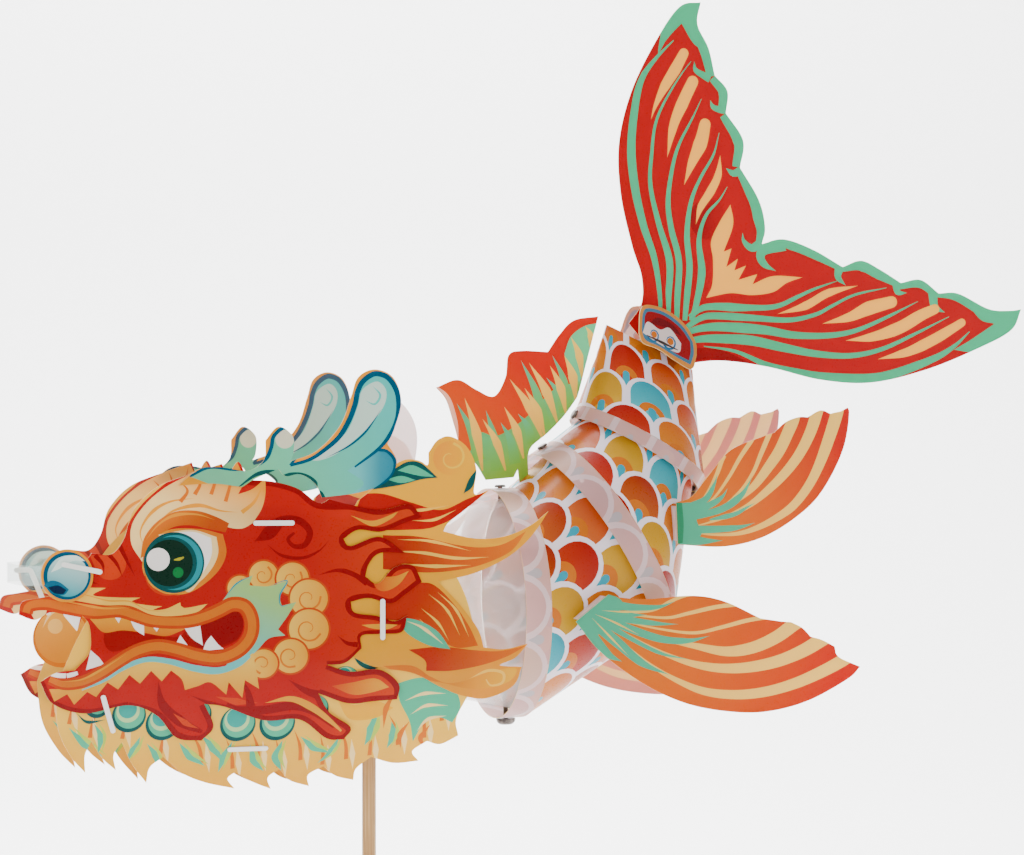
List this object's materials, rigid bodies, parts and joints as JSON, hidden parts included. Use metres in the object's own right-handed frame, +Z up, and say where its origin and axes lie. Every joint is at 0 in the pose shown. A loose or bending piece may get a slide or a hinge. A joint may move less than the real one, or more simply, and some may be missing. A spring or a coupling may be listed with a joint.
{
  "type": "carp streamer",
  "caption": "Dragon-headed carp kite of printed translucent plastic sheets with a jointed tube body, fins and tail, carried on a wooden stick.",
  "frame": {"origin": "centre of the stick's lower end", "axes": "+Z up along the stick, the fish faces -X with its left side towards -Y"},
  "size_m": [0.6191, 0.1442, 0.7441],
  "materials": {
    "stick": "bare straight-grained wood, satin",
    "stick_cap": "white moulded plastic",
    "strap_bottom": "clear bent plastic strap",
    "strap_top": "clear bent plastic strap",
    "mane": "printed translucent plastic sheet",
    "flame": "printed translucent plastic sheet",
    "face": "printed translucent plastic sheet",
    "horn": "printed translucent plastic sheet",
    "lock_tabs": "white plastic strip",
    "nose_band": "printed plastic strip with teal nostril discs",
    "nose_tabs": "white plastic strip",
    "pearl": "printed orange disc",
    "pearl_hanger": "white plastic strip",
    "crest_tongue": "frosted plastic",
    "neck_sleeve": "frosted plastic sheet",
    "hoop": "frosted plastic band",
    "brads": "dark domed paper fasteners",
    "body": "printed plastic sheet with scales",
    "dorsal_fin": "printed translucent plastic sheet",
    "side_fin": "printed translucent plastic sheet",
    "fin_root": "frosted plastic strip",
    "tail_clasp": "printed plastic plates",
    "tail_fin": "printed translucent plastic sheet"
  },
  "bodies": {
    "stick": {"stick": "stick", "stick_cap": "stick_cap"},
    "head": {"strap_bottom": "strap_bottom", "strap_top": "strap_top", "neck_sleeve": "neck_sleeve", "mane_left": "mane", "mane_right": "mane", "flame_left": "flame", "flame_right": "flame", "face_left": "face", "face_right": "face", "horn_left": "horn", "horn_right": "horn", "lock_tabs_left": "lock_tabs", "lock_tabs_right": "lock_tabs", "nose_band": "nose_band", "nose_tabs": "nose_tabs", "pearl": "pearl", "pearl_hanger": "pearl_hanger", "crest_tongue": "crest_tongue"},
    "body_front": {"neck_hoop": "hoop", "neck_brads": "brads", "body_front": "body", "dorsal_fin": "dorsal_fin", "pectoral_roots": "fin_root"},
    "body_middle": {"waist_hoop": "hoop", "waist_brads": "brads", "body_middle": "body", "pelvic_roots": "fin_root"},
    "body_rear": {"stem_hoop": "hoop", "stem_brads": "brads", "body_rear": "body", "tail_clasp": "tail_clasp"},
    "tail_fin": {"tail_fin": "tail_fin"},
    "pectoral_fin_left": {"pectoral_fin_left": "side_fin"},
    "pectoral_fin_right": {"pectoral_fin_right": "side_fin"},
    "pelvic_fin_left": {"pelvic_fin_left": "side_fin"},
    "pelvic_fin_right": {"pelvic_fin_right": "side_fin"}
  },
  "joints": [
    {"name": "head_swivel", "type": "hinge", "parent": "stick", "child": "head", "pos_m": [0, 0, 0.39], "axis": [0, 0, 1], "continuous": true},
    {"name": "neck_swing", "type": "hinge", "parent": "head", "child": "body_front", "pos_m": [0.0805, 0, 0.3915], "axis": [-0.0262, 0, 0.9997], "range_deg": [-10, 10]},
    {"name": "waist_swing", "type": "hinge", "parent": "body_front", "child": "body_middle", "pos_m": [0.1385, 0, 0.4255], "axis": [-0.515, 0, 0.8572], "range_deg": [-8, 8]},
    {"name": "stem_swing", "type": "hinge", "parent": "body_middle", "child": "body_rear", "pos_m": [0.162, 0, 0.4785], "axis": [-0.8616, 0, 0.5075], "range_deg": [-5, 5]},
    {"name": "tail_swing", "type": "hinge", "parent": "body_rear", "child": "tail_fin", "pos_m": [0.18, 0, 0.546], "axis": [0.7431, 0, -0.6691], "range_deg": [-10, 10], "stiffness_Nm_per_rad": 0.04},
    {"name": "pectoral_left_swing", "type": "hinge", "parent": "body_front", "child": "pectoral_fin_left", "pos_m": [0.11025, -0.071, 0.3915], "axis": [0.7926, 0, 0.6097], "range_deg": [-12, 25], "stiffness_Nm_per_rad": 0.01},
    {"name": "pectoral_right_swing", "type": "hinge", "parent": "body_front", "child": "pectoral_fin_right", "pos_m": [0.11025, 0.071, 0.3915], "axis": [-0.7926, 0, -0.6097], "range_deg": [-12, 25], "stiffness_Nm_per_rad": 0.01},
    {"name": "pelvic_left_swing", "type": "hinge", "parent": "body_middle", "child": "pelvic_fin_left", "pos_m": [0.168, -0.053, 0.438], "axis": [-0.0416, 0, 0.9991], "range_deg": [-12, 25], "stiffness_Nm_per_rad": 0.01},
    {"name": "pelvic_right_swing", "type": "hinge", "parent": "body_middle", "child": "pelvic_fin_right", "pos_m": [0.168, 0.053, 0.438], "axis": [0.0416, 0, -0.9991], "range_deg": [-12, 25], "stiffness_Nm_per_rad": 0.01}
  ]
}
